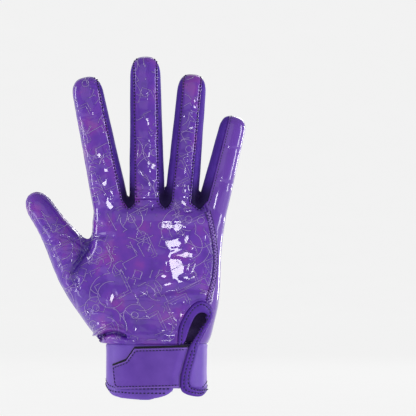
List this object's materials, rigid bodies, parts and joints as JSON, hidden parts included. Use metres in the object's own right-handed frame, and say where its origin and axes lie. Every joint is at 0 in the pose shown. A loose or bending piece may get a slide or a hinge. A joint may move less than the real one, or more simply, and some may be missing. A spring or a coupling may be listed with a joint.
{
  "type": "football receiver glove",
  "caption": "Right-hand football receiver glove in worn form: embossed back, smooth tacky palm, finger gussets, wrist cuff with slit and hook-and-loop strap.",
  "frame": {"origin": "middle of the wrist opening at the lowest point of the hem", "axes": "+Z from the wrist to the fingertips, +Y from the back of the hand to the palm, the thumb at -X"},
  "size_m": [0.1468, 0.0483, 0.2293],
  "materials": {
    "embossed_film": "gloss",
    "palm_silicone": "gloss",
    "gusset_knit": "matte",
    "cuff_neoprene": "satin",
    "binding_cloth": "satin",
    "strap_cloth": "satin"
  },
  "bodies": {
    "root": {"back_panel": "embossed_film", "middle_back_strip": "embossed_film", "palm_panel": "palm_silicone", "gusset_index_middle": "gusset_knit", "gusset_middle_ring": "gusset_knit", "gusset_ring_pinky": "gusset_knit", "cuff": "cuff_neoprene", "slit_binding": "binding_cloth", "strap": "strap_cloth"}
  },
  "joints": []
}
